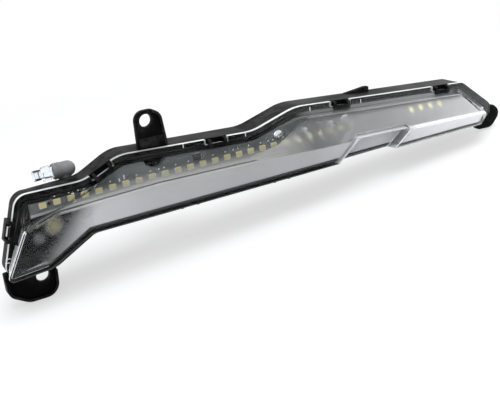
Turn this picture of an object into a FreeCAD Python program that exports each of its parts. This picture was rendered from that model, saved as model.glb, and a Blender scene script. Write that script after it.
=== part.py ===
import FreeCAD, Part
import math
import os

os.makedirs("parts", exist_ok=True)
V = FreeCAD.Vector

# Driving sizes in millimetres. X runs along the LED row, the lit face looks to -Y, Z is up.
# The datum is the upper lug's hole in the plane that the lugs seat on.

# Outlines seen from the front: x, z and corner radius, clockwise from the top left
FLANGE = [
    (-89.5, -25.8, 9.0), (-47.0, -26.8, 24.0), (-22.5, -16.4, 28.0), (72.5, -22.5, 35.0),
    (106.5, -13.0, 40.0), (254.5, -25.2, 6.0), (294.5, -57.2, 7.0), (126.0, -57.2, 4.0),
    (112.0, -61.6, 4.0), (-45.5, -61.6, 10.0), (-73.0, -76.2, 10.0), (-105.5, -75.4, 7.0),
]
CUP_BASE = [
    (-86.8, -30.4, 6.0), (-43.0, -32.0, 18.0), (-19.5, -22.8, 34.0), (71.5, -29.0, 28.0),
    (105.5, -19.0, 45.0), (251.5, -31.2, 4.0), (283.6, -55.2, 3.0),
    (-52.5, -55.2, 9.0), (-79.5, -69.4, 8.0), (-103.2, -70.4, 4.0),
]
FRONT = [
    (-92.8, -42.4, 4.0), (-72.0, -35.2, 25.0), (-6.0, -34.0, 60.0), (62.0, -36.2, 60.0),
    (112.0, -38.7, 60.0), (264.0, -45.8, 2.5), (255.5, -54.8, 2.5),
    (-52.5, -54.8, 9.0), (-80.0, -69.3, 8.0), (-108.6, -71.4, 3.0),
]
POCKET = [
    (145.5, -40.9, 4.5), (191.0, -43.2, 1.0), (168.0, -59.8, 1.0), (121.0, -59.8, 1.0),
]
FROST_VIEW = [
    (-84.0, -8.0, 1.0), (310.0, -8.0, 1.0), (310.0, -64.0, 1.0), (121.5, -64.0, 1.0),
    (118.5, -52.2, 0.6), (-53.2, -52.2, 8.0), (-80.6, -66.6, 6.0), (-103.4, -68.0, 4.0),
    (-86.6, -38.0, 8.0),
]
# Rear edge of the frosted roof from above: x, y and corner radius
FROST_PLAN = [
    (-120.0, -40.0, 1.0), (320.0, -40.0, 1.0), (320.0, -8.0, 1.0), (112.0, -8.0, 8.0),
    (84.0, -16.8, 25.0), (52.0, -18.9, 30.0), (-120.0, -18.9, 1.0),
]

# Depths, each counted from the plane before it
RIM_AHEAD = 5.0
LENS_FLANGE = 3.0
LENS_DEPTH = 18.0
GROOVE_DEPTH = 6.0
GROOVE_FLOOR = 2.0
SKIRT_DEPTH = 19.0
TRAY_DEPTH = 27.0
BACK_WALL = 2.0
POCKET_DEPTH = 9.0

# Walls and gaps across the rim
LENS_WALL = 1.8
LAND = 3.6
GROOVE_WIDTH = 2.0
RIM_LIP = 1.4
SKIRT_WALL = 2.0
SLOPE_START = -80.0
SLOPE_END = -10.0
TRAY_TAPER = 4.5
TONGUE_GAP = 0.3
SEAL_THICK = 1.4
INNER_GAP = 0.3
INNER_WALL = 1.4
BOARD_GAP = 0.6
REACH = 400.0

# Lugs and right tongue
LUG_THICK = 4.0
BORE_R = 4.25
LOW_LUG_X = -81.5
LOW_LUG_Z = -80.6
UPPER_LUG = [(-7.2, 6.6, 6.6), (9.8, 6.6, 7.6), (12.4, -20.0, 1.0), (-7.6, -20.0, 1.0)]
LOW_LUG = [
    (-104.8, -73.0, 1.0), (-72.2, -71.0, 1.0), (-73.4, -94.4, 9.0), (-93.0, -94.4, 10.0),
    (-104.8, -87.4, 7.0),
]
TONGUE = [
    (266.0, -50.0, 1.0), (289.0, -50.0, 4.0), (296.6, -57.0, 6.0), (286.5, -67.6, 8.0),
    (271.0, -67.0, 6.0),
]
LUG_RIM = 3.0
LUG_WALL = 1.8
RIM_TOP = -78.0
STEP_Z = -10.6
STEP_OUT = 1.2
GUSSET_THICK = 2.4
GUSSET_DEPTH = 7.0

# Snap hooks: loops over the flange, placed by x on its top and bottom sides
TOP_HOOKS = [-35.4, 45.4, 143.9, 234.1]
LOW_HOOKS = [20.0, 90.0]
END_HOOK = -96.2
HOOK_WIDTH = 13.5
HOOK_LEG = 2.0
HOOK_SET = 0.3
HOOK_DROP = 3.0
HOOK_BAR = 2.9
HOOK_LAP = 0.5
HOOK_HEAD = 1.8
HOOK_GAP = 0.2
END_DROP = 2.3
CATCH_WIDTH = 6.0
CATCH_OUT = 2.0
NOTCH_WIDTH = 16.5
RIB_THICK = 1.6
TOP_RIBS = [-9.5, 14.4, 38.4, 62.3, 128.4, 154.3, 180.3, 206.2, 232.1]
LATCH_X = 170.3
LATCH_LONG = 20.0
LATCH_RISE = 3.4

# Board, carrier and what stands on them
LED_Z = -36.0
LED_PITCH = 9.0
LED_MARGIN = 7.5
LED_GAP_LEFT = 155.0
LED_GAP_RIGHT = 200.0
LED_W = 4.4
LED_H = 3.6
LED_TALL = 1.2
BOARD_THICK = 1.6
BOARD_LEFT = -82.0
BOARD_RIGHT = 240.0
BOARD_LOW = 4.5
CARRIER_THICK = 2.0
CARRIER_LOW = 7.0
ARCH_X = 1.0
ARCH_Z = -22.6
ARCH_R = 8.0
RESISTORS = [(-20.0, -31.2), (34.0, -31.2), (61.0, -31.2), (162.0, -33.0), (174.0, -33.0)]
RESISTOR_W = 2.0
RESISTOR_H = 1.2
RESISTOR_TALL = 0.6
DRIVERS = [(30.0, -30.6), (124.0, -30.6), (186.0, -35.0)]
DRIVER_W = 5.0
DRIVER_H = 4.0
DRIVER_TALL = 1.2
CANS = [(112.8, -31.2), (134.0, -31.2)]
CAN_R = 2.5
CAN_TALL = 3.0
SCREWS = [(91.8, -29.8), (146.5, -30.8)]
SCREW_R = 1.4
SCREW_LONG = 9.0
SCREW_HEAD_R = 3.6
SCREW_HEAD = 1.5
SCREW_GAP = 0.3
BOSS_R = 3.2
PINS = [-70.0, 218.0]
PIN_R = 1.1

# Socket on the back wall
PLUG_X = 20.0
PLUG_Z = -40.0
PLUG_W = 21.0
PLUG_H = 13.0
PLUG_WALL = 1.6
PLUG_LONG = 16.0
PLUG_PLATE_W = 36.0
PLUG_PLATE_H = 16.0
PLUG_PLATE = 2.5
PLUG_SCREW_X = 14.0
PLUG_BASE = 3.0
PLUG_INSIDE = 3.0
GASKET = 1.2
BLADE_W = 1.6
BLADE_T = 0.8
BLADE_OUT = 8.0
BLADE_IN = 4.0
BLADE_PITCH = 5.0
LEAD_R = 0.8
LEAD_BEND = 5.0

# Breather behind the top left
VENT_X = -52.0
VENT_Y = 14.0
VENT_Z = -23.0
VENT_R = 5.0
VENT_LONG = 15.0
VENT_NECK_R = 4.0
SPIGOT_R = 2.2
PAD_Z = -29.6
TUBE_R = 3.4
TUBE_WALL = 0.9
TUBE_OUT = 12.0
TUBE_IN = 5.0
VENT_GAP = 0.3

# Levels along Y that follow from the depths
rim_y = -RIM_AHEAD
flange_y = rim_y - LENS_FLANGE
front_y = flange_y - LENS_DEPTH
groove_y = rim_y + GROOVE_DEPTH
ring_y = groove_y + GROOVE_FLOOR
skirt_y = rim_y + SKIRT_DEPTH
back_y = rim_y + TRAY_DEPTH
floor_y = back_y - BACK_WALL
tray_in = LAND + GROOVE_WIDTH
rim_in = tray_in + RIM_LIP
led_y = flange_y + LED_TALL
board_y = led_y + BOARD_THICK
carrier_y = board_y + CARRIER_THICK

# The lamp stands on its left lug and right tongue, so the row slopes a little
low_left = min(p[1] for p in LOW_LUG)
low_right = min(p[1] for p in TONGUE)
stance = math.degrees(math.atan2(low_right - low_left, 284.0 + 92.0))


def inset(outline, d):
    """Move every side inward by d and keep the corners tangent."""
    n = len(outline)
    result = []
    for i in range(n):
        ax, az, _ = outline[i - 1]
        bx, bz, r = outline[i]
        cx, cz, _ = outline[(i + 1) % n]
        l1 = math.hypot(bx - ax, bz - az)
        l2 = math.hypot(cx - bx, cz - bz)
        ux, uz = (bx - ax) / l1, (bz - az) / l1
        wx, wz = (cx - bx) / l2, (cz - bz) / l2
        # inward is to the right of travel on a clockwise outline
        turn = ux * wz - uz * wx
        half = 1.0 + ux * wx + uz * wz
        px = bx + d * (uz + wz) / half
        pz = bz - d * (ux + wx) / half
        if turn < 0:
            radius = max(r - d, 0.6)
        else:
            radius = r + d
        result.append((px, pz, radius))
    return result


def wire(outline, y):
    """Closed wire of straight sides and tangent arcs in the plane at y."""
    n = len(outline)
    corners = []
    for i in range(n):
        a = V(outline[i - 1][0], y, outline[i - 1][1])
        b = V(outline[i][0], y, outline[i][1])
        c = V(outline[(i + 1) % n][0], y, outline[(i + 1) % n][1])
        r = outline[i][2]
        u = (a - b).normalize()
        w = (c - b).normalize()
        opening = u.getAngle(w)
        reach = r / math.tan(opening / 2)
        bisect = (u + w).normalize()
        middle = b + bisect * (r / math.sin(opening / 2) - r)
        corners.append((b + u * reach, middle, b + w * reach))
    edges = []
    for i in range(n):
        start, middle, end = corners[i]
        edges.append(Part.Arc(start, middle, end).toShape())
        edges.append(Part.LineSegment(end, corners[(i + 1) % n][0]).toShape())
    return Part.Wire(edges)


def prism(outline, y0, y1):
    return Part.Face(wire(outline, y0)).extrude(V(0, y1 - y0, 0))


def frustum(outline0, y0, outline1, y1):
    return Part.makeLoft([wire(outline0, y0), wire(outline1, y1)], True, True)


def box(x0, x1, y0, y1, z0, z1):
    return Part.makeBox(x1 - x0, y1 - y0, z1 - z0, V(x0, y0, z0))


def rod(x, z, r, y0, y1):
    return Part.makeCylinder(r, y1 - y0, V(x, y0, z), V(0, 1, 0))


def cup(d):
    """Lens body moved inward by d, with its slanted pocket."""
    body = frustum(inset(CUP_BASE, d), flange_y, inset(FRONT, d), front_y + d)
    return body.cut(prism(inset(POCKET, -d), front_y - 1, front_y + POCKET_DEPTH + d))


def on_edge(x, low=False):
    """Place at x on the flange's upper or lower side, with X along the side and Z outward."""
    for i in range(len(FLANGE)):
        ax, az, _ = FLANGE[i]
        bx, bz, _ = FLANGE[(i + 1) % len(FLANGE)]
        if low:
            within = bx <= x < ax
        else:
            within = ax <= x < bx
        if within:
            break
    spot = V(x, 0, az + (bz - az) * (x - ax) / (bx - ax))
    lean = -math.degrees(math.atan2(bz - az, bx - ax))
    return FreeCAD.Placement(spot, FreeCAD.Rotation(V(0, 1, 0), lean))


def placed(shape, place):
    moved = shape.copy()
    moved.Placement = place
    return moved


def join(shapes):
    return shapes[0].fuse(shapes[1:]).removeSplitter()


def hook(out, drop, bar):
    """Two legs ahead of the rim and a bar across them in front of the lens flange."""
    head = flange_y - HOOK_GAP
    nose = head - HOOK_HEAD
    half = HOOK_WIDTH / 2
    left = box(-half, HOOK_LEG - half, nose, rim_y, out - drop, out)
    right = box(half - HOOK_LEG, half, nose, rim_y, out - drop, out)
    cross = box(-half, half, nose, head, out - drop - bar + HOOK_LAP, out - drop + HOOK_LAP)
    return left.fuse([right, cross])


nodes = {}

# Outer lens: flange plate, cup with pocket, tongue for the groove, notches for the hooks
outer = cup(0.0)
hollow = cup(LENS_WALL)
plate = prism(FLANGE, flange_y, rim_y)
opening = prism(inset(FLANGE, rim_in), flange_y, rim_y)
tongue = prism(inset(FLANGE, LAND + TONGUE_GAP), rim_y, groove_y - SEAL_THICK)
tongue = tongue.cut(prism(inset(FLANGE, tray_in - TONGUE_GAP), rim_y, groove_y))
lens = plate.cut(opening).fuse([tongue, outer.cut(hollow)])
notch = box(-NOTCH_WIDTH / 2, NOTCH_WIDTH / 2, flange_y - 0.5, rim_y, -LAND, 2.0)
hook_places = [on_edge(x) for x in TOP_HOOKS] + [on_edge(x, True) for x in LOW_HOOKS]
lens = lens.cut([placed(notch, place) for place in hook_places])
catch = box(-CATCH_WIDTH / 2, CATCH_WIDTH / 2, flange_y, rim_y - HOOK_GAP, -1.0, CATCH_OUT)
nodes["outer_lens"] = lens.fuse(placed(catch, on_edge(END_HOOK))).removeSplitter()

# Rear housing: rim with groove, skirt, tapered tray
housing = prism(FLANGE, rim_y, skirt_y)
groove = prism(inset(FLANGE, LAND), rim_y, groove_y)
groove = groove.cut(prism(inset(FLANGE, tray_in), rim_y, groove_y))
channel = prism(inset(FLANGE, SKIRT_WALL), ring_y, skirt_y)
tray = frustum(inset(FLANGE, tray_in), ring_y, inset(FLANGE, tray_in + TRAY_TAPER), back_y)
cavity = frustum(inset(FLANGE, rim_in), rim_y, inset(FLANGE, rim_in + TRAY_TAPER), floor_y)
slope_line = [(-130.0, skirt_y + 1, 0.2), (SLOPE_END, skirt_y + 1, 0.2)]
slope_line += [(SLOPE_START, ring_y + 0.5, 4.0), (-130.0, ring_y + 0.5, 0.2)]
slope = prism(slope_line, -REACH, REACH)
slope.rotate(V(0, 0, 0), V(1, 0, 0), -90)
slope = slope.cut(prism(inset(FLANGE, SKIRT_WALL), ring_y, skirt_y + 1))
housing = housing.cut([groove, channel, slope]).fuse(tray).cut(cavity)

lugs = [prism(line, -LUG_THICK, 0) for line in (UPPER_LUG, LOW_LUG, TONGUE)]
rim_y0 = -LUG_THICK - LUG_RIM
dish = prism(LOW_LUG, rim_y0, -LUG_THICK).cut(prism(inset(LOW_LUG, LUG_WALL), rim_y0, -LUG_THICK))
lugs.append(dish.cut(box(-REACH, REACH, rim_y0, -LUG_THICK, RIM_TOP, REACH)))
ear = prism(UPPER_LUG, rim_y0 + 1, -LUG_THICK).cut(prism(inset(UPPER_LUG, LUG_WALL), rim_y0, -LUG_THICK))
lugs.append(ear.cut(box(-REACH, BORE_R, rim_y0, -LUG_THICK, -REACH, REACH)))
step = prism(inset(UPPER_LUG, LUG_WALL / 2), -LUG_THICK - STEP_OUT, -LUG_THICK)
lugs.append(step.cut(box(-REACH, REACH, rim_y0, -LUG_THICK, STEP_Z, REACH)))
lugs[0] = lugs[0].cut(rod(0, 0, BORE_R, -LUG_THICK, 0))
lugs[1] = lugs[1].cut(rod(LOW_LUG_X, LOW_LUG_Z, BORE_R, -LUG_THICK, 0))
inside = prism(inset(FLANGE, LAND / 2), -LUG_THICK, 0)
ahead = prism(inset(FLANGE, -1.0), -REACH, -LUG_THICK)
lugs = lugs[:3] + [lug.cut(ahead) for lug in lugs[3:]]
lugs = [lug.cut(inside) for lug in lugs]

# Hooks ahead of the rim, and one outside it at the left end
hooks = [placed(hook(-HOOK_SET, HOOK_DROP, HOOK_BAR), place) for place in hook_places]
end_out = HOOK_SET + END_DROP
root = box(-HOOK_WIDTH / 2, HOOK_WIDTH / 2, rim_y, rim_y + 6, -1, end_out)
hooks.append(placed(hook(end_out, END_DROP, END_DROP - HOOK_LAP), on_edge(END_HOOK)))
hooks.append(placed(root, on_edge(END_HOOK)))

# Bosses for the carrier, with pilot holes or locating pins, and ribs under the trim
posts = []
for x, z in SCREWS:
    post = rod(x, z, BOSS_R, carrier_y, floor_y)
    posts.append(post.cut(rod(x, z, SCREW_R + SCREW_GAP, carrier_y, carrier_y + SCREW_LONG)))
for x in PINS:
    post = rod(x, LED_Z, BOSS_R, carrier_y, floor_y)
    posts.append(post.fuse(rod(x, LED_Z, PIN_R, led_y, carrier_y)))
trim_low = CUP_BASE[7][1] + LENS_WALL + INNER_GAP
ribs = []
for x in (-30.0, 45.0, 105.0):
    ribs.append(box(x, x + 2, rim_y, floor_y, trim_low - 12, trim_low + 5).common(cavity))
    ribs.append(box(x, x + 2, flange_y, rim_y, trim_low + 0.4, trim_low + 5))

# Breather pad and spigot on top of the tray, latch bar on the skirt
pad = Part.makeCylinder(VENT_NECK_R + 0.6, 9.0, V(VENT_X, VENT_Y, PAD_Z - 9.0))
pad = pad.fuse(Part.makeCylinder(SPIGOT_R, 6.0, V(VENT_X, VENT_Y, PAD_Z))).cut(cavity)
half = LATCH_LONG / 2
latch_line = [V(-half, 0, -1), V(-half, 0, 0.4), V(half - 3, 0, LATCH_RISE), V(half, 0, LATCH_RISE),
              V(half, 0, -1), V(-half, 0, -1)]
bar = Part.Face(Part.makePolygon(latch_line)).extrude(V(0, 4.0, 0))
bar.translate(V(0, skirt_y - 5.0, 0))
bar = placed(Part.makeCompound([bar]), on_edge(LATCH_X)).Solids[0]
rib = box(-RIB_THICK / 2, RIB_THICK / 2, ring_y, skirt_y - 1, -tray_in - 1.6, -1.0)
rear_ribs = [placed(rib, on_edge(x)) for x in TOP_RIBS]
gusset = box(10.2 - GUSSET_THICK, 10.2, -LUG_THICK, GUSSET_DEPTH, -19.0, -6.0)
window = box(PLUG_X - PLUG_W / 2 - 0.3, PLUG_X + PLUG_W / 2 + 0.3, floor_y - 1, back_y + 1,
             PLUG_Z - PLUG_H / 2 + 2.7, PLUG_Z + PLUG_H / 2 - 2.7)
bolt_x = [PLUG_X - PLUG_SCREW_X, PLUG_X + PLUG_SCREW_X]
screw_holes = [rod(x, PLUG_Z, 1.4, floor_y - 1, back_y + 1) for x in bolt_x]
housing = join([housing] + lugs + hooks + posts + ribs + [pad, bar, gusset] + rear_ribs)
nodes["rear_housing"] = housing.cut([window] + screw_holes)

# Sealing bead at the bottom of the groove
seal = prism(inset(FLANGE, LAND), groove_y - SEAL_THICK, groove_y)
nodes["lens_seal"] = seal.cut(prism(inset(FLANGE, tray_in), groove_y - SEAL_THICK, groove_y))

# Frosted inner lens and black trim share one shell, split along the frosted outline
shell = cup(LENS_WALL + INNER_GAP).cut(cup(LENS_WALL + INNER_GAP + INNER_WALL))
view = prism(FROST_VIEW, front_y, flange_y)
plan = prism(FROST_PLAN, -REACH, REACH)
plan.rotate(V(0, 0, 0), V(1, 0, 0), -90)
nodes["inner_lens"] = shell.common(view).common(plan)
above = box(-REACH, REACH, front_y, flange_y, FRONT[0][1], REACH)
beyond = box(FROST_VIEW[4][0], REACH, front_y, flange_y, -REACH, REACH)
nodes["inner_bezel"] = shell.cut([view, above, beyond])

# Board and carrier follow the top of the lamp
field = inset(FLANGE, rim_in + BOARD_GAP)
arch = rod(ARCH_X, ARCH_Z, ARCH_R, led_y - 1, carrier_y + 1)
holes = [rod(x, z, SCREW_R + SCREW_GAP, led_y, carrier_y) for x, z in SCREWS]
holes += [rod(x, LED_Z, PIN_R + SCREW_GAP, led_y, carrier_y) for x in PINS]
head_box = box(PLUG_X - 8.5, PLUG_X + 8.5, board_y, carrier_y, LED_Z - 2.5, LED_Z + 3.5)
board = prism(field, led_y, board_y)
board = board.common(box(BOARD_LEFT, BOARD_RIGHT, led_y, board_y, LED_Z - BOARD_LOW, 0))
nodes["led_board"] = board.cut([arch] + holes)
carrier = prism(field, board_y, carrier_y)
carrier = carrier.common(box(BOARD_LEFT, BOARD_RIGHT, board_y, carrier_y, LED_Z - CARRIER_LOW, 0))
nodes["board_carrier"] = carrier.cut([arch, head_box] + holes)



def chips(spots, w, h, tall):
    """Blocks on the board's front, centred on the spots."""
    blocks = []
    for x, z in spots:
        blocks.append(box(x - w / 2, x + w / 2, led_y - tall, led_y, z - h / 2, z + h / 2))
    return Part.makeCompound(blocks)


# The row holds as many packages as the board's length allows, apart from the gap
row = board.common(box(-REACH, REACH, led_y, board_y, LED_Z - LED_H / 2, LED_Z + LED_H / 2)).BoundBox
led_spots = []
for k in range(int((row.XLength - 2 * LED_MARGIN) / LED_PITCH) + 1):
    x = row.XMin + LED_MARGIN + LED_PITCH * k
    if not LED_GAP_LEFT < x < LED_GAP_RIGHT:
        led_spots.append((x, LED_Z))
nodes["led_packages"] = chips(led_spots, LED_W, LED_H, LED_TALL)
nodes["board_resistors"] = chips(RESISTORS, RESISTOR_W, RESISTOR_H, RESISTOR_TALL)
nodes["board_drivers"] = chips(DRIVERS, DRIVER_W, DRIVER_H, DRIVER_TALL)
cans = [Part.makeCylinder(CAN_R, CAN_TALL, V(x, led_y, z), V(0, -1, 0)) for x, z in CANS]
nodes["board_capacitors"] = Part.makeCompound(cans)

screws = []
for x, z in SCREWS:
    ball = Part.makeSphere(SCREW_HEAD_R * 1.45, V(x, led_y - SCREW_HEAD + SCREW_HEAD_R * 1.45, z))
    dome = ball.common(rod(x, z, SCREW_HEAD_R, led_y - SCREW_HEAD, led_y))
    screws.append(dome.fuse(rod(x, z, SCREW_R, led_y, led_y + SCREW_LONG)).removeSplitter())
nodes["board_screws"] = Part.makeCompound(screws)

# Plug block behind the board and its leads to the socket blades
header_y = board_y + 6.0
nodes["board_header"] = box(PLUG_X - 8, PLUG_X + 8, board_y, header_y, LED_Z - 2, LED_Z + 3)
plate_y = back_y + GASKET
blade_x = [PLUG_X + BLADE_PITCH * (k - 1) for k in range(3)]
lead_y = floor_y - PLUG_INSIDE - BLADE_IN
bend_a = V(0, header_y + 4.0, LED_Z)
bend_b = V(0, lead_y - 4.0, PLUG_Z)
slant = math.atan2(bend_b.z - bend_a.z, bend_b.y - bend_a.y)
reach = LEAD_BEND * math.tan(abs(slant) / 2)
along = V(0, math.cos(slant), math.sin(slant))
dip = LEAD_BEND * (1 / math.cos(slant / 2) - 1)
across = V(0, math.sin(slant / 2), -math.cos(slant / 2))
leads = []
for x in blade_x:
    shift = V(x, 0, 0)
    spots = [V(0, header_y, LED_Z), bend_a - V(0, reach, 0), bend_a + across * dip]
    spots += [bend_a + along * reach, bend_b - along * reach, bend_b - across * dip]
    spots += [bend_b + V(0, reach, 0), V(0, lead_y, PLUG_Z)]
    spots = [p + shift for p in spots]
    runs = [Part.LineSegment(spots[0], spots[1]), Part.Arc(*spots[1:4])]
    runs += [Part.LineSegment(spots[3], spots[4]), Part.Arc(*spots[4:7])]
    runs.append(Part.LineSegment(spots[6], spots[7]))
    path = Part.Wire([run.toShape() for run in runs])
    ring = Part.Wire(Part.makeCircle(LEAD_R, spots[0], V(0, 1, 0)))
    leads.append(path.makePipeShell([ring], True, True))
print("lead volume over section times length", leads[0].Volume / (math.pi * LEAD_R ** 2 * path.Length))
nodes["inner_leads"] = Part.makeCompound(leads)

# Socket: plate on a gasket, shroud behind it, body through the wall


def plug_line(w, h, r):
    """Rounded rectangle about the plug's centre, clockwise from the top left."""
    left, right = PLUG_X - w / 2, PLUG_X + w / 2
    low, high = PLUG_Z - h / 2, PLUG_Z + h / 2
    return [(left, high, r), (right, high, r), (right, low, r), (left, low, r)]


shroud = plug_line(PLUG_W, PLUG_H, 2.4)
plate_line = plug_line(PLUG_PLATE_W, PLUG_PLATE_H, 4.0)
mouth_y = plate_y + PLUG_PLATE + PLUG_LONG
neck = box(PLUG_X - PLUG_W / 2, PLUG_X + PLUG_W / 2, floor_y - PLUG_INSIDE, plate_y,
           PLUG_Z - PLUG_H / 2 + 3, PLUG_Z + PLUG_H / 2 - 3)
socket = prism(plate_line, plate_y, plate_y + PLUG_PLATE)
socket = socket.fuse([prism(shroud, plate_y + PLUG_PLATE, mouth_y), neck])
socket = socket.cut(prism(inset(shroud, PLUG_WALL), plate_y + PLUG_BASE, mouth_y))
plug_top = PLUG_Z + PLUG_H / 2
latch = box(PLUG_X - 3, PLUG_X + 3, mouth_y - 8, mouth_y - 5, plug_top, plug_top + 1.6)
blade_tip = plate_y + PLUG_BASE + BLADE_OUT
blade = box(-BLADE_W / 2, BLADE_W / 2, lead_y, blade_tip, -BLADE_T / 2, BLADE_T / 2)
blades = [placed(blade, FreeCAD.Placement(V(x, 0, PLUG_Z), FreeCAD.Rotation())) for x in blade_x]
plate_holes = [rod(x, PLUG_Z, 1.4, plate_y - 1, plate_y + PLUG_PLATE + 1) for x in bolt_x]
nodes["connector_socket"] = socket.fuse(latch).removeSplitter().cut(blades + plate_holes)
nodes["connector_pins"] = Part.makeCompound(blades)
gasket = prism(plate_line, back_y, plate_y).cut(neck)
nodes["connector_gasket"] = gasket.cut([rod(x, PLUG_Z, 1.4, back_y, plate_y) for x in bolt_x])
bolts = []
for x in bolt_x:
    bolt = rod(x, PLUG_Z, 2.4, plate_y + PLUG_PLATE, plate_y + PLUG_PLATE + 1.8)
    bolts.append(bolt.fuse(rod(x, PLUG_Z, 1.1, floor_y - 2, plate_y + PLUG_PLATE)).removeSplitter())
nodes["connector_screws"] = Part.makeCompound(bolts)

# Breather: rubber elbow on the spigot, clear tube in its open end
vent_left = VENT_X - VENT_LONG / 2
elbow = Part.makeCylinder(VENT_R, VENT_LONG - VENT_R, V(vent_left, VENT_Y, VENT_Z), V(1, 0, 0))
elbow = elbow.fuse(Part.makeSphere(VENT_R, V(vent_left + VENT_LONG - VENT_R, VENT_Y, VENT_Z)))
elbow = elbow.fuse(Part.makeCylinder(VENT_NECK_R, VENT_Z - PAD_Z, V(VENT_X, VENT_Y, PAD_Z)))
elbow = elbow.cut(Part.makeCylinder(SPIGOT_R + VENT_GAP, 7.0, V(VENT_X, VENT_Y, PAD_Z)))
seat_x = vent_left + TUBE_IN
mouth = Part.makeCylinder(TUBE_R + VENT_GAP, TUBE_IN, V(vent_left, VENT_Y, VENT_Z), V(1, 0, 0))
nodes["vent_elbow"] = elbow.cut(mouth).removeSplitter()
tube_long = TUBE_IN + TUBE_OUT
tube_end = V(seat_x - tube_long, VENT_Y, VENT_Z)
tube = Part.makeCylinder(TUBE_R, tube_long, tube_end, V(1, 0, 0))
collar = Part.makeCylinder(VENT_R - 0.4, 5.0, V(vent_left - 6.5, VENT_Y, VENT_Z), V(1, 0, 0))
tube_bore = Part.makeCylinder(TUBE_R - TUBE_WALL, tube_long, tube_end, V(1, 0, 0))
nodes["vent_tube"] = tube.fuse(collar).removeSplitter().cut(tube_bore)

for name, shape in nodes.items():
    shape.rotate(V(0, 0, 0), V(0, 1, 0), stance)
    print(name, "valid", shape.isValid(), "solids", len(shape.Solids), "volume", round(shape.Volume))
    shape.exportStep("parts/" + name + ".step")
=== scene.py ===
import bpy
import bmesh
import math
from mathutils import Matrix, Vector


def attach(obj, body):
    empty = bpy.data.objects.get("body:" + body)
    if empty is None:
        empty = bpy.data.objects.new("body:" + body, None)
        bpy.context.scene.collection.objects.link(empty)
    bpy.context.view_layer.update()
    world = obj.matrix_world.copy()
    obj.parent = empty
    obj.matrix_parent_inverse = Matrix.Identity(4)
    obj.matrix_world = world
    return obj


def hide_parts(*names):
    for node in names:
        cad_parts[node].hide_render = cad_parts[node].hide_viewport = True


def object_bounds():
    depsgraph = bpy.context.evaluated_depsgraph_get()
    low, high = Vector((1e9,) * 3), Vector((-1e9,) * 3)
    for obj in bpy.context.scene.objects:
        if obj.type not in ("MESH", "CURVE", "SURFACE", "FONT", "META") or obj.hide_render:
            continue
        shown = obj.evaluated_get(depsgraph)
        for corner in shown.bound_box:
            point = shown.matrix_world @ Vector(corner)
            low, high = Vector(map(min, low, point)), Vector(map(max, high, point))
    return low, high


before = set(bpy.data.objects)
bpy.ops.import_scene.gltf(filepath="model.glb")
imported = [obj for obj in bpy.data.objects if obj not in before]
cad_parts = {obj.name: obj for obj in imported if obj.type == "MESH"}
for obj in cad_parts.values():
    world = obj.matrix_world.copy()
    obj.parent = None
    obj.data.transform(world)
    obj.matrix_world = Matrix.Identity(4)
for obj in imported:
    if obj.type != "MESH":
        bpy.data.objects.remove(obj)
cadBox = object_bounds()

scene = bpy.context.scene
scene.view_settings.view_transform = "Standard"
print("frame loaded, nodes:", len(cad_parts))

# Lamp axes: x along the LED row, lit face to -y, z up, in millimetres.
# The lamp stands a little turned about y, as in the source.
lampSet = {
    "stance": 4.0769533,     # degrees
    "ledZ": -36.0,
    "ledFirst": -74.5,
    "ledPitch": 9.0,
    "boardFace": -6.8,       # front of the board
    "lensFace": -8.0,        # front of the lens flange
    "rimFace": -5.0,         # front of the housing rim
}
mm = 0.001
lampTurn = Matrix.Rotation(math.radians(lampSet["stance"]), 4, "Y")


def toRow(x, y, z):
    return lampTurn @ Vector((x * mm, y * mm, z * mm))


def finishMesh(bm, name, materials, angle=32.0):
    mesh = bpy.data.meshes.new(name)
    bm.to_mesh(mesh)
    bm.free()
    for finish in materials:
        mesh.materials.append(finish)
    for face in mesh.polygons:
        face.use_smooth = True
    mesh.set_sharp_from_angle(angle=math.radians(angle))
    piece = bpy.data.objects.new(name, mesh)
    scene.collection.objects.link(piece)
    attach(piece, "root")
    return piece


def softCopy(node, width, segments=2, angle=25.0, avoid=None, strip=0, flat=0.5, cuts=(), plain=()):
    # copy of a CAD node with its sharp edges rounded, apart from those near the point to avoid
    # and those between two plain levels of y; cuts are levels of y where long faces are divided first;
    # the rounded strips take the material numbered by strip
    bm = bmesh.new()
    bm.from_mesh(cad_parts[node].data)
    bmesh.ops.remove_doubles(bm, verts=bm.verts, dist=3e-6)
    bmesh.ops.dissolve_limit(bm, angle_limit=math.radians(flat), verts=bm.verts, edges=bm.edges)
    bmesh.ops.connect_verts_concave(bm, faces=bm.faces)
    for y in cuts:
        bmesh.ops.bisect_plane(bm, geom=bm.verts[:] + bm.edges[:] + bm.faces[:], dist=1e-7,
                               plane_co=(0.0, y * mm, 0.0), plane_no=(0.0, 1.0, 0.0))
    bm.normal_update()
    sharp = []
    for edge in bm.edges:
        near = avoid and any((v.co - avoid).length < 0.012 for v in edge.verts)
        levels = [v.co.y / mm for v in edge.verts]
        near = near or any(low < min(levels) and max(levels) < high for low, high in plain)
        if len(edge.link_faces) == 2 and not near and edge.calc_face_angle(0.0) > math.radians(angle):
            sharp.append(edge)
    made = bmesh.ops.bevel(bm, geom=sharp, offset=width * mm, offset_type="OFFSET", affect="EDGES",
                           segments=segments, profile=0.5, material=-1, clamp_overlap=False)
    for face in made["faces"]:
        face.material_index = strip
    bmesh.ops.remove_doubles(bm, verts=bm.verts, dist=2e-6)
    loose = [edge for edge in bm.edges if not edge.link_faces]
    bmesh.ops.delete(bm, geom=loose, context="EDGES")
    gaps = [edge for edge in bm.edges if edge.is_boundary]
    if gaps:
        bmesh.ops.holes_fill(bm, edges=gaps, sides=8)
    bm.normal_update()
    return bm


def addBlock(bm, size, at):
    made = bmesh.ops.create_cube(bm, size=1.0)["verts"]
    bmesh.ops.scale(bm, vec=Vector(size) * mm, verts=made)
    bmesh.ops.translate(bm, vec=Vector(at) * mm, verts=made)
    return made


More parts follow.
